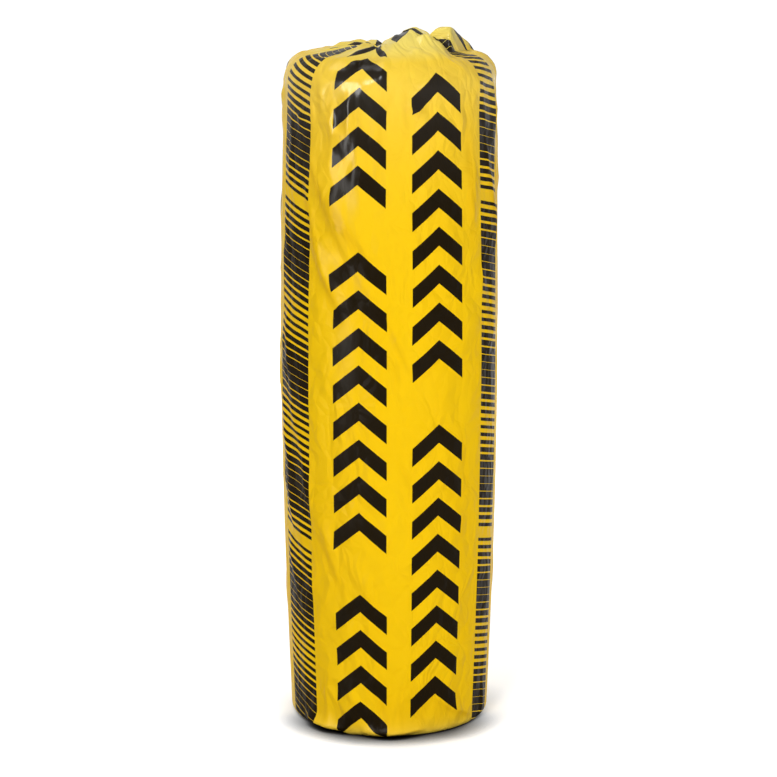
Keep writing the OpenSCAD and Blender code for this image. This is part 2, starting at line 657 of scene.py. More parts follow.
@dataclass
class SideFolds:
    """What takes the film off a smooth path: creases, crumples and the lumps of the wool below it.

    Attributes:
        meridian: The path that the film follows from edge to edge.
        front: The creases seen at the front.
        spreads: Spreads of like ones all round.
        profile: The section that they share.
        ridges: Sets of ridges that crumple the film.
        ridge_level: Level of a ridge at which it adds nothing.
        lump: Size of the wool's lumps.
        lump_waves: Fewest lumps round the roll, and the number that they stay under.
        lump_layers: Layers of lumps of each number.
        lump_climb: Steepest that a row of lumps runs, in radians for each metre.
        seed: Seed of everything that is drawn at random.
        random: Where the draws come from.
    """

    meridian: Meridian
    front: tuple[Crease, ...] = FRONT_CREASES
    spreads: tuple[CreaseSpread, ...] = SIDE_SPREADS
    profile: CreaseProfile = CreaseProfile()
    ridges: tuple[RidgeSet, ...] = (
        RidgeSet(4, (5, 12), 10, 0.5),
        RidgeSet(5, (10, 20), 22, 0.3),
        RidgeSet(5, (16, 34), 30, 0.2),
    )
    ridge_level: float = 0.6
    lump: float = 0.0013
    lump_waves: tuple[int, int] = (2, 9)
    lump_layers: int = 2
    lump_climb: float = 9.0
    seed: int = 11
    random: np.random.Generator = field(init=False)

    def __post_init__(self) -> None:
        """Starts the random draws."""
        self.random = np.random.default_rng(self.seed)

    def creases(self) -> list[Crease]:
        """Puts the creases together.

        Returns:
            Those seen at the front, and then the spreads of like ones all round.
        """
        found = list(self.front)
        for spread in self.spreads:
            found += spread.drawn(self.random, self.meridian.shoulder_z)
        return found

    def crease_fields(self, along: np.ndarray, azimuth: np.ndarray) -> tuple[np.ndarray, ...]:
        """Adds up the creases.

        Args:
            along: Place of each row along the film.
            azimuth: Azimuth of each column, in degrees.

        Returns:
            A grid of distances off the path, one of how far the film lies in two layers there, painted as
            shade, from 0 to 1, and one of how far it is drawn in, across and along it.
        """
        radius, profile = self.meridian.form.widest_r, self.profile
        depth = np.zeros((len(along), len(azimuth)))
        folded_shade = np.zeros_like(depth)
        drawn = np.zeros((*depth.shape, 2))
        for crease in self.creases():
            turn = (azimuth - crease.azimuth[0] + 180.0) % 360.0 - 180.0
            u = np.radians(turn)[None, :] * radius
            v = along[:, None] - crease.height[0]
            du = math.radians(crease.azimuth[1] - crease.azimuth[0]) * radius
            dv = crease.height[1] - crease.height[0]
            size = math.hypot(du, dv)
            share = (u * du + v * dv) / size ** 2
            across = (u * dv - v * du) / size
            taper = np.sin(math.pi * np.clip(share, 0.0, 1.0)) ** profile.taper
            reach = np.where(across > 0, *crease.width)
            depth += crease.rise * taper * np.exp(-(np.abs(across) / reach) ** profile.flank)
            # Painted shade: one flank of each crease is marked as film in two layers, which the finish paints
            # a darker yellow.
            beside = np.exp(-((across / crease.width[0] - profile.double_shade_at) / profile.double_shade_reach) ** 2)
            double = crease.double * min(crease.rise / profile.full_rise, 1.0)
            folded_shade = np.maximum(folded_shade, double * taper * beside)
            parted = np.tanh(across / profile.ridge)
            pull = crease.tuck * taper * parted * np.exp(-np.abs(across) / (profile.pull_reach * reach))
            drawn += pull[..., None] * np.array([dv, -du]) / size
        return depth, folded_shade, drawn

    def unevenness(self, along: np.ndarray, azimuth: np.ndarray) -> np.ndarray:
        """Adds up the slow lumps of the wool that show through the film.

        Args:
            along: Place of each row along the film.
            azimuth: Azimuth of each column, in degrees.

        Returns:
            A grid of distances off the path.
        """
        turn, v = np.radians(azimuth)[None, :], along[:, None]
        lumps = np.zeros((len(along), len(azimuth)))
        for waves in range(*self.lump_waves):
            for _ in range(self.lump_layers):
                phase = self.random.uniform(0, FULL_TURN)
                climb = self.random.uniform(-self.lump_climb, self.lump_climb)
                size = self.random.normal(0, self.lump / waves ** 0.5)
                lumps += size * np.sin(waves * turn + climb * v + phase)
        return lumps

    def crumple(self, along: np.ndarray, azimuth: np.ndarray) -> np.ndarray:
        """Adds up sharp crumples, from ridges that cross at random.

        Args:
            along: Place of each row along the film.
            azimuth: Azimuth of each column, in degrees.

        Returns:
            A grid of heights, as shares of the crumples' depth.
        """
        turn, v = np.radians(azimuth)[None, :], along[:, None] / self.meridian.form.widest_r
        total = np.zeros((len(along), len(azimuth)))
        for ridges in self.ridges:
            for _ in range(ridges.count):
                waves = int(self.random.integers(*ridges.waves))
                climb = self.random.uniform(-ridges.climb, ridges.climb)
                phase = self.random.uniform(0, FULL_TURN)
                valley = np.abs(np.sin(0.5 * (waves * turn + climb * v + phase)))
                total += ridges.depth * (self.ridge_level - valley)
        return total


@dataclass(frozen=True)
class GatheredTop:
    """The upper end of the film, pleated in to the hollow, with folds that stand up out of it.

    Attributes:
        meridian: The path that the film follows from edge to edge.
        pleats: Its pleats, in order round it.
        flaps: The folds that stand up.
        flap_fade: Height below the flat top over which they die away.
        tent_swing: How much higher the top is drawn on one side.
        tent_front: Azimuth of that side.
        bridge_off: How far the film stands off the top end's soft edge, on the side where it does so most.
        bridge_side: Azimuth of that side.
    """

    meridian: Meridian
    pleats: tuple[Pleat, ...] = TOP_PLEATS
    flaps: tuple[Flap, ...] = TOP_FLAPS
    flap_fade: float = 0.010
    tent_swing: float = 0.003
    tent_front: float = 20.0
    bridge_off: float = 0.0018
    bridge_side: float = 80.0

    def pleated(self, azimuth: np.ndarray) -> tuple[np.ndarray, np.ndarray]:
        """Pleats the upper end of the sheet.

        Args:
            azimuth: Azimuths of the columns, in degrees.

        Returns:
            Grids of the pleated azimuths and of the distance off the path.
        """
        gather = self.meridian.gather(Side.TOP)[:, None]
        turned = np.repeat(azimuth[None, :], len(gather), axis=0)
        off = np.zeros_like(turned)
        low = self.pleats[0].left
        wrapped = (azimuth - low) % 360.0 + low
        for pleat in self.pleats:
            inside = (wrapped >= pleat.left) & (wrapped < pleat.right)
            width = pleat.right - pleat.left
            t = ((pleat.right - wrapped) / width)[None, inside]
            share = eased((gather - pleat.begin) / (1.0 - pleat.begin))
            stand = np.sin(math.pi * np.sqrt(t)) ** 2
            turned[:, inside] -= width * pleat.overlap * share / FULL_TURN * np.sin(FULL_TURN * t)
            off[:, inside] += pleat.height * share * stand
        return turned, off

    def bridge(self, azimuth: np.ndarray) -> np.ndarray:
        """Works out where the film is drawn straight across the top end's soft edge.

        Args:
            azimuth: Azimuths of the columns, in degrees.

        Returns:
            A grid of distances off the path.
        """
        path = self.meridian
        height = (path.z - path.shoulder_z) / path.shoulder_r
        on_edge = np.where((path.r > path.crown_r) & (height > 0), np.clip(height, 0.0, 1.0), 0.0)
        bow = np.sin(2.0 * np.arcsin(on_edge))[:, None]
        spread = 0.5 + 0.5 * np.cos(np.radians(azimuth - self.bridge_side))[None, :]
        return self.bridge_off * bow * spread

    def raised(self, points: np.ndarray) -> tuple[np.ndarray, np.ndarray]:
        """Draws the top up on one side and stands its flaps up.

        Args:
            points: The sheet's points as a grid.

        Returns:
            The moved points, and how far across the flat sheet each is drawn from.
        """
        path = self.meridian
        gathered = path.gather(Side.TOP)[:, None] > 0
        share = np.where(gathered, np.clip((path.z - path.film_top) / path.tent_h, 0.0, 1.0)[:, None], 0.0)
        x, y = points[..., 0], points[..., 1]
        turn = np.arctan2(x, -y) - math.radians(self.tent_front)
        outside = np.clip(np.hypot(x, y) / path.crest_r, 0.0, 1.0)
        moved = points.copy()
        moved[..., 2] += self.tent_swing * np.cos(turn) * share * outside
        on_crown = eased((path.z - path.film_top + self.flap_fade) / self.flap_fade)[:, None] * gathered
        heights = [flap.height(x, y) * on_crown for flap in self.flaps]
        standing = [height for flap, height in zip(self.flaps, heights) if not flap.on_others]
        crumples = [height for flap, height in zip(self.flaps, heights) if flap.on_others]
        moved[..., 2] += np.maximum.reduce(standing) + sum(crumples)
        dragged = np.zeros_like(x)
        for flap, height in zip(self.flaps, heights):
            hung = eased(height / flap.lift)
            moved[..., 0] += flap.lean[0] * hung
            moved[..., 1] += flap.lean[1] * hung
            dragged += flap.drag * hung
        return moved, dragged


@dataclass(frozen=True)
class LaidFilm:
    """The film where it lies on the roll, as grids of rows and columns.

    Attributes:
        points: Places of its points.
        cut: Places of the same points on the flat sheet.
        masks: Values of 0 to 1 at the points, by the name that the finish has for them.
    """

    points: np.ndarray
    cut: np.ndarray
    masks: dict[str, np.ndarray]


@dataclass
class FilmSheet:
    """The printed film: one sheet, rolled round the wool, lapped at the back and gathered over both ends.

    Attributes:
        meridian: The path that the film follows from edge to edge.
        column_step: Degrees between columns at the front.
        back_step: Degrees between columns at the back.
        fine_deg: Azimuth on either side at which the front ends.
        lap_deg: How far the sheet laps over itself.
        seam_deg: Azimuth at which the lap begins.
        lap_step: How far the outer layer of the lap stands off the inner one.
        lap_run: Degrees over which it steps up.
        lap_end: Share of the gather at the foot from which on the two layers lie flat.
        thickness: Wall of the film.
        slack: How gently the film comes to rest on the wool beside a fold.
        press: How low a lump of it is pressed flat.
        side_ripple: Depth of the crumples on the side.
        shoulder_ripple: How much deeper they are at the shoulder.
        shoulder_reach: How far down the side that dies away.
        crown_ripple: Depth of the crumples on the crown.
        crown_pace: How soon they reach it on the way in.
        gather_pace: How soon the side's folds end on the way in.
        free_h: Height over the wool at which the wool no longer backs most of the film.
        heel_highlight_h: Height over the floor up to which the lips at the heel reach, and with them the
            painted highlight along the heel.
        top: The upper end.
        folds: What takes the film off its path.
        azimuth: Azimuth of each column.
    """

    meridian: Meridian
    column_step: float = 1.3
    back_step: float = 1.8
    fine_deg: float = 75.0
    lap_deg: float = 24.0
    seam_deg: float = 146.0
    lap_step: float = 0.0010
    lap_run: float = 6.0
    lap_end: float = 0.25
    thickness: float = 0.0003
    slack: float = 0.0005
    press: float = 0.0012
    side_ripple: float = 0.0022
    shoulder_ripple: float = 0.0026
    shoulder_reach: float = 0.10
    crown_ripple: float = 0.0072
    crown_pace: float = 1.6
    gather_pace: float = 3.0
    free_h: float = 0.020
    heel_highlight_h: float = 0.010
    top: GatheredTop = field(init=False)
    folds: SideFolds = field(init=False)
    azimuth: np.ndarray = field(init=False)

    def __post_init__(self) -> None:
        """Sets up the top and the folds, and works out the azimuth of each column."""
        self.top = GatheredTop(self.meridian)
        self.folds = SideFolds(self.meridian)
        first, last = self.seam_deg - 360.0, self.seam_deg + self.lap_deg
        stops = (first, -self.fine_deg, self.fine_deg, last)
        steps = (self.back_step, self.column_step, self.back_step)
        runs = [np.linspace(low, high, round((high - low) / step), endpoint=False)
                for low, high, step in zip(stops, stops[1:], steps)]
        self.azimuth = np.concatenate([*runs, [last]])

    @property
    def cut_width(self) -> float:
        """Width that the sheet was cut to."""
        return math.radians(self.azimuth[-1] - self.azimuth[0]) * self.meridian.form.widest_r

    @property
    def cut_length(self) -> float:
        """Length that the sheet was cut to."""
        along = self.meridian.lengths()
        return float(along[0] - along[-1])

    def resting(self, off: np.ndarray) -> np.ndarray:
        """Returns distances off the path with those that would press into the wool eased to nothing."""
        return self.slack * np.log1p(np.exp((off - self.press) / self.slack))

    def shape(self, finish: "FilmFinish") -> LaidFilm:
        """Works out where each point of the sheet lies.

        Args:
            finish: The film's finish, which names the masks.

        Returns:
            The laid film.
        """
        path, azimuth = self.meridian, self.azimuth
        along = path.lengths()
        top, foot = (path.gather(side)[:, None] for side in (Side.TOP, Side.FOOT))
        turned, off = self.top.pleated(azimuth)
        depth, folded_shade, drawn = self.folds.crease_fields(along, azimuth)
        ripple = self.folds.crumple(along, azimuth)
        lumps = self.folds.unevenness(along, azimuth)
        on_side = np.clip(1.0 - eased(top * self.gather_pace) - eased(foot * self.gather_pace), 0.0, 1.0)
        nearness = np.exp(-np.maximum(path.shoulder_z - path.z, 0.0) / self.shoulder_reach)[:, None]
        side_off = depth + lumps + ripple * (self.side_ripple + self.shoulder_ripple * nearness)
        crown_off = ripple * self.crown_ripple * eased(top * self.crown_pace)
        loose = self.resting(side_off * on_side + crown_off)
        lapped = self.lap_step * eased((azimuth - self.seam_deg + self.lap_run) / self.lap_run)[None, :]
        distance = off + loose + self.top.bridge(azimuth) + lapped * (foot < self.lap_end)
        out_r, out_z = (part[:, None] for part in path.outward())
        r = path.r[:, None] + out_r * distance
        z = path.z[:, None] + out_z * distance
        turn = np.radians(turned)
        laid = np.stack([r * np.sin(turn), -r * np.cos(turn), np.maximum(z, 0.0)], axis=2)
        points, dragged = self.top.raised(laid)
        across = np.radians(azimuth) * path.form.widest_r
        cut = np.stack(np.meshgrid(across, along), axis=2) + drawn * on_side[..., None]
        cut[..., 0] += dragged
        return LaidFilm(points, cut, self.masks(finish, points, nearness, folded_shade * on_side))

    def masks(self, finish: "FilmFinish", points: np.ndarray, nearness: np.ndarray,
              folded_shade: np.ndarray) -> dict[str, np.ndarray]:
        """Works out what the film's finish has to know of each point.

        Args:
            finish: The film's finish, which names the masks.
            points: The laid points.
            nearness: How near each row is to the shoulder, from 0 to 1.
            folded_shade: How far the film lies in two layers at each point, which the finish paints as shade.

        Returns:
            The masks by their names.
        """
        path, shares = self.meridian, finish.shares
        top = path.gather(Side.TOP)[:, None]
        out_r = path.outward()[0][:, None]
        free = 1.0 - np.exp(-(np.maximum(points[..., 2] - path.film_top, 0.0) * (top > 0)) / self.free_h)
        # Paler along the heel: partly the lips that stand off the wool there, partly a painted highlight all
        # round the heel.
        lips_and_heel_highlight = np.exp(-path.z / self.heel_highlight_h)[:, None] * (path.r > path.crown_r)[:, None]
        # Painted sheen: the film is also painted paler towards the shoulder.
        backed_less_sheen = (1.0 - free) * (1.0 - shares.painted_shoulder_sheen * nearness) * (1.0 - shares.lip_and_heel_highlight * lips_and_heel_highlight)
        tight = np.maximum(nearness, shares.side_gloss) * np.maximum(out_r, 0.0) ** 2
        crown_gloss = shares.crown_gloss * eased(top * shares.crown_pace)
        return {
            finish.backing_and_sheen: backed_less_sheen * (1.0 - shares.loose_crown * eased(top * self.gather_pace)),
            finish.glossy: tight + shares.free_gloss * free + crown_gloss,
            finish.folded_shade: folded_shade,
        }

    def build(self, finish: "FilmFinish") -> bpy.types.Object:
        """Builds the film and dresses it.

        Args:
            finish: The film's finish.

        Returns:
            The film's object, at the origin.
        """
        laid = self.shape(finish)
        rows, columns = laid.points.shape[:2]
        mesh = grid_mesh("film_sheet", columns - 1, rows - 1, 0.5)
        mesh.vertices.foreach_set("co", laid.points.ravel())
        corner = np.empty(len(mesh.loops), dtype=np.int32)
        mesh.loops.foreach_get("vertex_index", corner)
        flat = mesh.uv_layers.new(name=finish.uv_map)
        flat.data.foreach_set("uv", laid.cut.reshape(-1, 2)[corner].ravel())
        for name, mask in laid.masks.items():
            mesh.attributes.new(name, "FLOAT", "POINT").data.foreach_set("value", mask.ravel())
        mesh.polygons.foreach_set("use_smooth", np.ones(len(mesh.polygons), dtype=bool))
        mesh.materials.append(finish.material())
        mesh.flip_normals()
        mesh.update()
        film = add_object("film_sheet", mesh)
        wall = film.modifiers.new("wall", "SOLIDIFY")
        wall.thickness = self.thickness
        wall.offset = -1.0
        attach(film, "root")
        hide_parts("film_wrap")
        self.cut_width
        self.cut_length
        return film


@dataclass(frozen=True)
class Grain:
    """A pattern of noise in a finish.

    Attributes:
        stretch: How often it changes in each metre, along each axis.
        detail: How many finer layers it has.
        roughness: How strong those are.
    """

    stretch: Point
    detail: float
    roughness: float = 0.5


class Wiring:
    """Adds nodes to a shader tree and links them."""

    def __init__(self, tree: bpy.types.NodeTree) -> None:
        """Keeps the tree that the nodes go into."""
        self.tree = tree

    def node(self, kind: str, **settings: object) -> bpy.types.Node:
        """Adds a node.

        Args:
            kind: Name of the node's type.
            **settings: Properties to set on it.

        Returns:
            The new node.
        """
        made = self.tree.nodes.new(kind)
        for name, value in settings.items():
            setattr(made, name, value)
        return made

    def feed(self, socket: Socket, value: Fed) -> None:
        """Links a socket to another one, or sets its value.

        Args:
            socket: The socket to feed.
            value: The other socket, or the value.
        """
        if isinstance(value, bpy.types.NodeSocket):
            self.tree.links.new(value, socket)
        else:
            socket.default_value = value

    def fill(self, node: bpy.types.Node, inputs: dict[str, Fed]) -> bpy.types.Node:
        """Feeds several inputs of a node.

        Args:
            node: The node.
            inputs: Sockets or values, by the names of the inputs.

        Returns:
            The same node.
        """
        for name, value in inputs.items():
            self.feed(node.inputs[name], value)
        return node

    def math(self, operation: str, *values: Fed) -> Socket:
        """Adds a Math node.

        Args:
            operation: Name of the operation.
            *values: Sockets or numbers to work on.

        Returns:
            The result's socket.
        """
        made = self.node("ShaderNodeMath", operation=operation)
        for socket, value in zip(made.inputs, values):
            self.feed(socket, value)
        return made.outputs[0]

    def mix(self, share: Fed, first: Fed, second: Fed) -> Socket:
        """Adds a colour mix.

        Args:
            share: How much of the second colour is taken.
            first: Colour at a share of 0.
            second: Colour at a share of 1.

        Returns:
            The mixed colour's socket.
        """
        made = self.node("ShaderNodeMix", data_type="RGBA")
        return self.fill(made, {"Factor": share, "A": first, "B": second}).outputs["Result"]

    def spread(self, value: Socket, low: float, high: float) -> Socket:
        """Returns a value of 0 to 1 spread between two others."""
        return self.math("MULTIPLY_ADD", value, high - low, low)

    def ramp(self, value: Socket, reach: Span, result: Span) -> Socket:
        """Adds a ramp that is eased at both ends.

        Args:
            value: The value that it follows.
            reach: Values at which it begins and ends.
            result: What it gives there.

        Returns:
            The result's socket.
        """
        made = self.node("ShaderNodeMapRange", interpolation_type="SMOOTHSTEP")
        self.fill(made, {"Value": value, "From Min": reach[0], "From Max": reach[1],
                         "To Min": result[0], "To Max": result[1]})
        return made.outputs["Result"]

    def stretched(self, vector: Socket, scale: Point) -> Socket:
        """Returns coordinates stretched along each axis."""
        return self.fill(self.node("ShaderNodeMapping"), {"Vector": vector, "Scale": scale}).outputs["Vector"]

    def noise(self, vector: Socket, grain: Grain) -> Socket:
        """Adds noise.

        Args:
            vector: Coordinates that it lies on.
            grain: The pattern.

        Returns:
            The socket of the noise, from 0 to 1.
        """
        place = self.stretched(vector, grain.stretch)
        made = self.node("ShaderNodeTexNoise")
        self.fill(made, {"Vector": place, "Scale": 1.0, "Detail": grain.detail, "Roughness": grain.roughness})
        return made.outputs["Fac"]

    def bump(self, height: Socket, strength: float, depth: float) -> Socket:
        """Adds fine relief.

        Args:
            height: Height of the relief.
            strength: How much of it shows.
            depth: Depth of a height of 1, in metres.

        Returns:
            The normal's socket.
        """
        made = self.node("ShaderNodeBump")
        return self.fill(made, {"Strength": strength, "Distance": depth, "Height": height}).outputs["Normal"]

    def split(self, vector: Socket) -> bpy.types.NodeOutputs:
        """Returns the sockets of a vector's parts, by the names of the axes."""
        return self.fill(self.node("ShaderNodeSeparateXYZ"), {"Vector": vector}).outputs

    def attribute(self, name: str) -> Socket:
        """Returns the socket of a mesh's own values."""
        return self.node("ShaderNodeAttribute", attribute_name=name).outputs["Fac"]


class Coating(Wiring):
    """A new material, the nodes in it and its Principled shader."""

    def __init__(self, name: str) -> None:
        """Makes the material.

        Args:
            name: Name of the material.
        """
        self.material = bpy.data.materials.new(name)
        self.material.use_nodes = True
        super().__init__(self.material.node_tree)
        self.shader = self.tree.nodes["Principled BSDF"]


class MaskGroup(Wiring):
    """A shader node group that turns the film's flat coordinates into a mask of printed ink."""

    def __init__(self, name: str, inputs: tuple[str, ...]) -> None:
        """Starts the group.

        Args:
            name: Name of the group.
            inputs: Names of its number inputs, after U and V.
        """
        super().__init__(bpy.data.node_groups.new(name, "ShaderNodeTree"))
        for socket in ("U", "V", *inputs):
            self.tree.interface.new_socket(name=socket, in_out="INPUT", socket_type="NodeSocketFloat")
        self.tree.interface.new_socket(name="Mask", in_out="OUTPUT", socket_type="NodeSocketFloat")
        self.source = self.node("NodeGroupInput").outputs
        self.sink = self.node("NodeGroupOutput").inputs

    def centred(self, value: Socket, centre: Socket, repeat: Socket) -> Socket:
        """Works out the distance from the nearest of places that repeat.

        Args:
            value: The place to measure from.
            centre: One of the places that repeat.
            repeat: Distance between them.

        Returns:
            The socket of the distance, which has a sign.
        """
        half = self.math("MULTIPLY", repeat, 0.5)
        moved = self.math("ADD", self.math("SUBTRACT", value, centre), half)
        return self.math("SUBTRACT", self.math("FLOORED_MODULO", moved, repeat), half)

    def shared(self, *masks: Socket) -> Socket:
        """Works out the part that all the masks share.

        Args:
            *masks: The masks.

        Returns:
            The socket of the shared mask.
        """
        found = masks[0]
        for mask in masks[1:]:
            found = self.math("MULTIPLY", found, mask)
        return found


class BarBandGroup(MaskGroup):
    """A band of slanted bars that swell and thin out along the film, with a bar left out here and there."""

    INPUTS = ("Centre", "Repeat", "Half Width", "Pitch", "Slant", "Thin", "Thick", "Swell Length",
              "Swell Centre", "Gap Length", "Gap Centre")
    # Half the length in which a bar is left out, in pitches: a little over half, so that one bar lies in it.
    GAP_HALF = 0.55

    def __init__(self) -> None:
        """Builds the group."""
        super().__init__("bar_band", self.INPUTS)
        source = self.source
        across = self.centred(source["U"], source["Centre"], source["Repeat"])
        inside = self.math("LESS_THAN", self.math("ABSOLUTE", across), source["Half Width"])
        slanted = self.math("MULTIPLY_ADD", across, source["Slant"], source["V"])
        counted = self.math("DIVIDE", slanted, source["Pitch"])
        place = self.math("MULTIPLY", self.math("FLOOR", counted), source["Pitch"])
        swell = self.centred(place, source["Swell Centre"], source["Swell Length"])
        turn = self.math("DIVIDE", self.math("MULTIPLY", swell, FULL_TURN), source["Swell Length"])
        full = self.spread(self.math("COSINE", turn), 0.5, 1.0)
        swing = self.math("SUBTRACT", source["Thick"], source["Thin"])
        share = self.math("MULTIPLY_ADD", full, swing, source["Thin"])
        within = self.math("ABSOLUTE", self.math("SUBTRACT", self.math("FRACT", counted), 0.5))
        bar = self.math("LESS_THAN", within, self.math("MULTIPLY", share, 0.5))
        gap = self.math("ABSOLUTE", self.centred(place, source["Gap Centre"], source["Gap Length"]))
        kept = self.math("GREATER_THAN", gap, self.math("MULTIPLY", source["Pitch"], self.GAP_HALF))
        self.feed(self.sink["Mask"], self.shared(inside, bar, kept))


class ChevronGroup(MaskGroup):
    """A column of chevrons, in bunches with bare film between them."""

    INPUTS = ("Centre", "Repeat", "Half Width", "Rise", "Stroke", "Pitch", "Bunch", "Filled", "Start")

    def __init__(self) -> None:
        """Builds the group."""
        super().__init__("chevron_column", self.INPUTS)
        source = self.source
        across = self.math("ABSOLUTE", self.centred(source["U"], source["Centre"], source["Repeat"]))
        inside = self.math("LESS_THAN", across, source["Half Width"])
        bent = self.math("DIVIDE", self.math("MULTIPLY", across, source["Rise"]), source["Half Width"])
        climbed = self.math("SUBTRACT", self.math("ADD", source["V"], bent), source["Start"])
        bunch = self.math("FLOORED_MODULO", climbed, source["Bunch"])
        filled = self.math("LESS_THAN", bunch, source["Filled"])
        stroke = self.math("LESS_THAN", self.math("FLOORED_MODULO", bunch, source["Pitch"]), source["Stroke"])
        self.feed(self.sink["Mask"], self.shared(inside, filled, stroke))


@dataclass(frozen=True)
class PrintLayout:
    """Where the ink lies on the flat film, in metres.

    Attributes:
        repeat: Distance across the film at which the print repeats.
        bands: Place across the film and half the width of each bar band.
        column_places: Places across the film of two chevron columns, side by side.
        column_half: Half the width of a chevron.
        length: Distance along the film at which the print repeats.
        swells: How often the bars swell in that length.
        chevron_start: Height at which a bunch of chevrons begins in the first column.
    """

    repeat: float = 0.4330
    bands: tuple[Span, ...] = ((-0.6345, 0.0450), (-0.2015, 0.0450), (0.2235, 0.0330))
    column_places: Span = (-0.0535, 0.0895)
    column_half: float = 0.0490
    length: float = 0.612
    swells: int = 3
    chevron_start: float = 0.384

    def bar_values(self, band: Span) -> dict[str, float]:
        """Works out the inputs of the bar band's group.

        Args:
            band: One of the bands, which lies on the film once.

        Returns:
            The inputs by their names.
        """
        return {"Centre": band[0], "Repeat": len(self.bands) * self.repeat, "Half Width": band[1],
                "Pitch": 0.0138, "Slant": 0.245, "Thin": 0.44, "Thick": 0.96,
                "Swell Length": self.length / self.swells, "Swell Centre": 0.849,
                "Gap Length": self.length, "Gap Centre": 0.951}

    def chevron_values(self, place: int) -> dict[str, float]:
        """Works out the inputs of the chevron group.

        Args:
            place: 0 for the first column after a band, 1 for the second.

        Returns:
            The inputs by their names.
        """
        return {"Centre": self.column_places[place], "Repeat": self.repeat, "Half Width": self.column_half,
                "Rise": 0.040, "Stroke": 0.033, "Pitch": 0.066, "Bunch": self.length, "Filled": 0.495,
                "Start": self.chevron_start + 0.5 * self.length * place}


@dataclass(frozen=True)
class Crinkle:
    """Fine crinkles of the film: flat facets of two sizes, with bent edges.

    Attributes:
        facets: How many large and small facets lie in each metre, along each axis.
        small_share: Depth of the small ones, as a share of the large ones'.
        bend_scale: How often their edges bend in each metre.
        bend: How far they bend, along each axis.
        strength: How much of the relief shows.
        depth: Its depth, in metres.
    """

    facets: tuple[Point, Point] = ((17.0, 8.0, 1.0), (44.0, 26.0, 1.0))
    small_share: float = 0.35
    bend_scale: float = 9.0
    bend: Point = (0.06, 0.10, 0.0)
    strength: float = 0.75
    depth: float = 0.011

    def normal(self, wires: Wiring, flat: Socket) -> Socket:
        """Adds the crinkles to a material.

        Args:
            wires: The material's nodes.
            flat: The film's flat coordinates.

        Returns:
            The normal's socket.
        """
        warp = wires.node("ShaderNodeTexNoise", noise_dimensions="2D")
        wires.fill(warp, {"Vector": flat, "Scale": self.bend_scale})
        moved = wires.node("ShaderNodeVectorMath", operation="MULTIPLY_ADD")
        for socket, value in zip(moved.inputs, (warp.outputs["Color"], self.bend, flat)):
            wires.feed(socket, value)
        heights = []
        for scale in self.facets:
            cells = wires.node("ShaderNodeTexVoronoi", feature="DISTANCE_TO_EDGE", voronoi_dimensions="2D")
            wires.fill(cells, {"Vector": wires.stretched(moved.outputs["Vector"], scale), "Scale": 1.0})
            heights.append(cells.outputs["Distance"])
        large, small = heights
        height = wires.math("MULTIPLY_ADD", small, self.small_share, large)
        return wires.bump(height, self.strength, self.depth)


@dataclass(frozen=True)
class MaskShares:
    """How much each part of the film counts in its masks.

    Attributes:
        painted_shoulder_sheen: Share by which the film is painted paler towards the shoulder, as a painted
            sheen.
        lip_and_heel_highlight: Share by which the film is painted paler along the heel: partly the lips
            there, which stand off the wool, partly a painted highlight.
        loose_crown: Share by which the wool backs the film less on the crown.
        side_gloss: Gloss of the side, as a share of the shoulder's.
        free_gloss: Gloss of film that stands free, as a share of the same.
        crown_gloss: Gloss of the crown, likewise.
        crown_pace: How soon the crown has it on the way in.
    """

    painted_shoulder_sheen: float = 0.30
    lip_and_heel_highlight: float = 0.8
    loose_crown: float = 0.3
    side_gloss: float = 0.11
    free_gloss: float = 0.7
    crown_gloss: float = 0.22
    crown_pace: float = 2.0


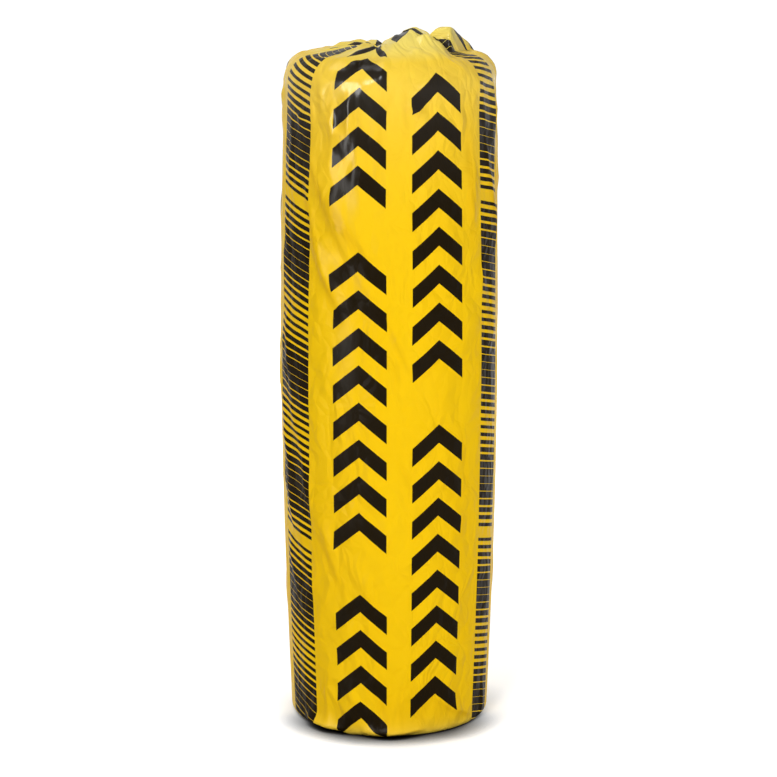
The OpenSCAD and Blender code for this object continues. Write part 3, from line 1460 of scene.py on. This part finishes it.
@dataclass(frozen=True)
class FilmFinish:
    """Printed polyethylene film: glossy yellow, black ink, paler where nothing backs it; painted sheen,
    highlight and shade.

    Attributes:
        deep: Darker yellow of its clouds.
        bright: Brighter yellow between them.
        pale: Yellow of film that stands free, also painted as sheen near the shoulder and as a highlight
            along the heel.
        double: Darker yellow where the film lies in two layers beside a crease, painted there as shade on
            that flank.
        double_shade_share: How far it takes that painted shade on.
        ink: Black of the print.
        clouds: Pattern of the two yellows.
        streaks: Pattern of smoother and rougher streaks.
        roughness: Roughness of both.
        specular: Strength of the mirror image in the film itself.
        gloss: Strength of that in its smooth skin, where it is drawn tight.
        skin_roughness: Roughness of that skin.
        crinkle: Its fine crinkles.
        layout: Where the print lies.
        shares: How much each part of the film counts in the masks.
        uv_map: Name of the map of flat coordinates.
        backing_and_sheen: Name of the attribute that says how closely the wool backs the film, less the
            painted sheen near the shoulder and the painted highlight at the heel.
        glossy: Name of the one that says how tightly it is drawn.
        folded_shade: Name of the one that says where it lies in two layers and is painted as shade.
    """

    deep: Point = (0.850, 0.500, 0.002)
    bright: Point = (0.910, 0.576, 0.004)
    pale: Point = (0.910, 0.735, 0.150)
    double: Point = (0.660, 0.350, 0.002)
    double_shade_share: float = 0.50
    ink: Point = (0.0100, 0.0055, 0.0006)
    clouds: Grain = Grain((9.0, 4.0, 1.0), 4.0)
    streaks: Grain = Grain((60.0, 5.0, 1.0), 3.0)
    roughness: Span = (0.26, 0.46)
    specular: float = 0.02
    gloss: float = 0.40
    skin_roughness: float = 0.18
    crinkle: Crinkle = Crinkle()
    layout: PrintLayout = PrintLayout()
    shares: MaskShares = MaskShares()
    uv_map: str = "flat_cut"
    backing_and_sheen: str = "backing_and_sheen"
    glossy: str = "glossy"
    folded_shade: str = "folded_shade"

    def material(self) -> bpy.types.Material:
        """Makes the film's material.

        Returns:
            The material.
        """
        made = Coating("printed_film")
        flat = made.node("ShaderNodeUVMap", uv_map=self.uv_map).outputs["UV"]
        made.fill(made.shader, {
            "Base Color": made.mix(self.ink_mask(made, flat), self.yellow(made, flat), opaque(self.ink)),
            "Roughness": made.spread(made.noise(flat, self.streaks), *self.roughness),
            "Specular IOR Level": self.specular,
            "Coat Weight": made.math("MULTIPLY", made.attribute(self.glossy), self.gloss),
            "Coat Roughness": self.skin_roughness,
            "Normal": self.crinkle.normal(made, flat),
        })
        return made.material

    def yellow(self, wires: Wiring, flat: Socket) -> Socket:
        """Adds the film's colour without its print.

        Args:
            wires: The material's nodes.
            flat: The film's flat coordinates.

        Returns:
            The colour's socket.
        """
        backed_less_sheen = wires.mix(wires.noise(flat, self.clouds), opaque(self.deep), opaque(self.bright))
        # Paler where nothing backs the film, and painted paler as sheen near the shoulder and as a highlight
        # at the heel.
        single = wires.mix(wires.attribute(self.backing_and_sheen), opaque(self.pale), backed_less_sheen)
        # Painted shade: the flanks beside the creases, where the film lies in two layers, turn to the darker
        # yellow.
        double_shade_weight = wires.math("MULTIPLY", wires.attribute(self.folded_shade), self.double_shade_share)
        return wires.mix(double_shade_weight, single, opaque(self.double))

    def ink_mask(self, wires: Wiring, flat: Socket) -> Socket:
        """Adds the mask of all the ink.

        Args:
            wires: The material's nodes.
            flat: The film's flat coordinates.

        Returns:
            The mask's socket.
        """
        parts = wires.split(flat)
        bars, chevrons = BarBandGroup().tree, ChevronGroup().tree
        places = [(bars, self.layout.bar_values(band)) for band in self.layout.bands]
        places += [(chevrons, self.layout.chevron_values(place)) for place in (0, 1)]
        mask = None
        for tree, values in places:
            printed = wires.node("ShaderNodeGroup", node_tree=tree)
            found = wires.fill(printed, {"U": parts["X"], "V": parts["Y"], **values}).outputs["Mask"]
            mask = found if mask is None else wires.math("MAXIMUM", mask, found)
        return mask


@dataclass(frozen=True)
class WoolFinish:
    """Glass wool: matted fine fibre, mustard yellow.

    Attributes:
        dark: Colour between the fibres.
        light: Colour of the fibres.
        fibre: Their pattern.
        roughness: Roughness between them and on them.
        specular: Strength of the mirror image in them.
        relief: How much of their relief shows.
        depth: Depth of that relief, in metres.
    """

    dark: Point = (0.480, 0.330, 0.090)
    light: Point = (0.760, 0.600, 0.230)
    fibre: Grain = Grain((420.0, 420.0, 60.0), 6.0, 0.65)
    roughness: Span = (0.82, 0.98)
    specular: float = 0.2
    relief: float = 0.7
    depth: float = 0.002

    def dress(self, wool: bpy.types.Object) -> None:
        """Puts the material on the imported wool.

        Args:
            wool: The wool's object.
        """
        made = Coating("glass_wool")
        fibre = made.noise(made.node("ShaderNodeTexCoord").outputs["Object"], self.fibre)
        made.fill(made.shader, {
            "Base Color": made.mix(fibre, opaque(self.dark), opaque(self.light)),
            "Roughness": made.spread(fibre, *self.roughness),
            "Specular IOR Level": self.specular,
            "Normal": made.bump(fibre, self.relief, self.depth),
        })
        wool.data.materials.clear()
        wool.data.materials.append(made.material)


@dataclass(frozen=True)
class Lamp:
    """A soft lamp of the studio.

    Attributes:
        name: What it does.
        place: Where it hangs, in metres.
        aim: The point that it faces.
        size: Width and height of its face.
        power: Its power in watts.
        gleams: Whether glossy surfaces mirror it.
        lights: Whether it lights matt surfaces.
    """

    name: str
    place: Point
    aim: Point
    size: Span
    power: float
    gleams: bool = True
    lights: bool = True

    def hang(self) -> None:
        """Adds the lamp to the scene."""
        data = bpy.data.lights.new(self.name, "AREA")
        data.shape = "RECTANGLE"
        data.size, data.size_y = self.size
        data.energy = self.power
        lamp = add_object(self.name, data)
        lamp.visible_camera = False
        lamp.visible_glossy = self.gleams
        lamp.visible_diffuse = self.lights
        lamp.location = self.place
        lamp.rotation_euler = (Vector(self.aim) - Vector(self.place)).to_track_quat("-Z", "Y").to_euler()


@dataclass(frozen=True)
class FloorFinish:
    """The pale floor, white to the camera apart from the roll's shadow and a painted contact shadow round its
    foot.

    Attributes:
        shade: Its colour under the lamps.
        roughness: Its roughness.
        shadow_reach: Distances from the axis between which the roll's shadow fades out.
        whiteness: How white the floor is by itself at those distances.
        painted_shadow_reach: How far the painted contact shadow in the corner between the roll and the floor
            reaches.
        painted_shadow_run: Places along Y between which that painted shadow deepens, from behind to the
            front.
        painted_shadow_depth: How dark it is painted there, as powers of how open the corner is.
    """

    shade: Point = (0.82, 0.82, 0.82)
    roughness: float = 0.9
    shadow_reach: Span = (0.3, 2.2)
    whiteness: Span = (0.58, 1.0)
    painted_shadow_reach: float = 0.056
    painted_shadow_run: Span = (-0.02, -0.18)
    painted_shadow_depth: Span = (0.5, 3.7)

    def material(self) -> bpy.types.Material:
        """Makes the floor's material.

        Returns:
            The material.
        """
        made = Coating("pale_floor")
        place = made.node("ShaderNodeTexCoord").outputs["Object"]
        far = made.node("ShaderNodeVectorMath", operation="LENGTH")
        made.feed(far.inputs[0], place)
        fade = made.ramp(far.outputs["Value"], self.shadow_reach, self.whiteness)
        # Painted contact shadow: ambient occlusion near the roll darkens the floor's colour and its white
        # glow, most in front.
        corner = made.fill(made.node("ShaderNodeAmbientOcclusion"), {"Distance": self.painted_shadow_reach})
        depth = made.ramp(made.split(place)["Y"], self.painted_shadow_run, self.painted_shadow_depth)
        bare = made.math("POWER", corner.outputs["AO"], depth)
        white = made.math("MULTIPLY", background_rays(made), fade)
        made.fill(made.shader, {
            "Base Color": made.mix(bare, BLACK, opaque(self.shade)),
            "Roughness": self.roughness,
            "Specular IOR Level": 0.0,
            "Emission Color": WHITE,
            "Emission Strength": made.math("MULTIPLY", white, bare),
        })
        return made.material


def background_rays(wires: Wiring) -> Socket:
    """Finds the rays that see the white background, apart from those that only carry light.

    Args:
        wires: Nodes of the floor's material or of the world.

    Returns:
        A socket that is 1 for those rays and 0 for the rest.
    """
    rays = wires.node("ShaderNodeLightPath").outputs
    seen = wires.math("MAXIMUM", rays["Is Camera Ray"], rays["Is Glossy Ray"])
    return wires.math("MAXIMUM", seen, rays["Is Transmission Ray"])


@dataclass(frozen=True)
class Studio:
    """A pale floor, soft lamps and the camera at the photograph's viewing angle.

    Attributes:
        camera_distance: Distance of the camera from the roll's axis, along the floor.
        camera_height: Its height above the floor.
        camera_x: How far it stands to the right of the axis.
        camera_tilt: How far it looks down, in degrees.
        sensor_mm: Width of its sensor, in millimetres.
        focal_px: Its focal length in pixels of the photograph.
        frame_px: Width of the photograph in pixels.
        floor_size: Width of the floor.
        floor_finish: The floor's finish.
        even_light: Strength of the world's light.
        lamps: The lamps.
    """

    camera_distance: float = 5.09
    camera_height: float = 1.753
    camera_x: float = -0.0016
    camera_tilt: float = 12.79
    sensor_mm: float = 36.0
    focal_px: float = 2906.0
    frame_px: float = 777.0
    floor_size: float = 30.0
    floor_finish: FloorFinish = FloorFinish()
    even_light: float = 0.145
    lamps: tuple[Lamp, ...] = (
        Lamp("key_softbox", (-1.0, -3.2, 3.2), (0.0, 0.0, 0.7), (0.9, 0.9), 66.5),
        Lamp("fill_softbox", (2.3, -2.95, 1.2), (0.0, 0.0, 0.6), (1.2, 1.6), 59.0, gleams=False),
        Lamp("low_softbox", (-2.1, -2.2, 0.4), (0.0, 0.0, 0.3), (0.8, 0.6), 14.0, gleams=False),
        Lamp("gleam_card", (-2.2, -2.2, 1.15), (0.0, 0.0, 0.9), (0.9, 2.2), 115.0, lights=False),
        Lamp("top_softbox", (-0.8, 0.3, 3.2), (0.0, 0.0, 1.2), (1.0, 1.0), 21.0),
        Lamp("back_softbox", (0.3, 3.6, 1.0), (0.0, 0.0, 0.6), (1.6, 1.2), 76.0, gleams=False),
    )

    def build(self) -> None:
        """Sets up the floor, the lamps, the world and the camera."""
        self.lay_floor()
        for lamp in self.lamps:
            lamp.hang()
        self.light_world()
        self.place_camera()
        bpy.context.scene.view_settings.view_transform = "Standard"

    def lay_floor(self) -> None:
        """Lays the floor."""
        mesh = grid_mesh("floor", 1, 1, 0.5 * self.floor_size)
        mesh.materials.append(self.floor_finish.material())
        floor = add_object("floor", mesh)

    def light_world(self) -> None:
        """Gives the world its white background and its even light."""
        world = bpy.data.worlds.new("studio")
        bpy.context.scene.world = world
        world.use_nodes = True
        wires = Wiring(world.node_tree)
        strength = wires.spread(background_rays(wires), self.even_light, 1.0)
        wires.fill(world.node_tree.nodes["Background"], {"Color": WHITE, "Strength": strength})

    def place_camera(self) -> None:
        """Adds the camera."""
        data = bpy.data.cameras.new("camera")
        data.sensor_width = self.sensor_mm
        data.lens = self.sensor_mm * self.focal_px / self.frame_px
        camera = add_object("camera", data)
        camera.location = (self.camera_x, -self.camera_distance, self.camera_height)
        camera.rotation_euler = (math.radians(90.0 - self.camera_tilt), 0.0, 0.0)
        bpy.context.scene.camera = camera


def main() -> None:
    """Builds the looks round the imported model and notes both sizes."""
    logging.basicConfig(level=logging.INFO, format="%(name)s: %(message)s")
    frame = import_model()
    Studio().build()
    WoolFinish().dress(frame["nodes"]["wool_roll"])
    LOG.info("wool_roll: dressed the packed solid")
    sheet = FilmSheet(Meridian(RollForm.from_frame()))
    film = sheet.build(FilmFinish())
    LOG.info("%s: cut to %.3f by %.3f m, %d faces", film.name, sheet.cut_width, sheet.cut_length,
             len(film.data.polygons))


if __name__ == "__main__":
    main()
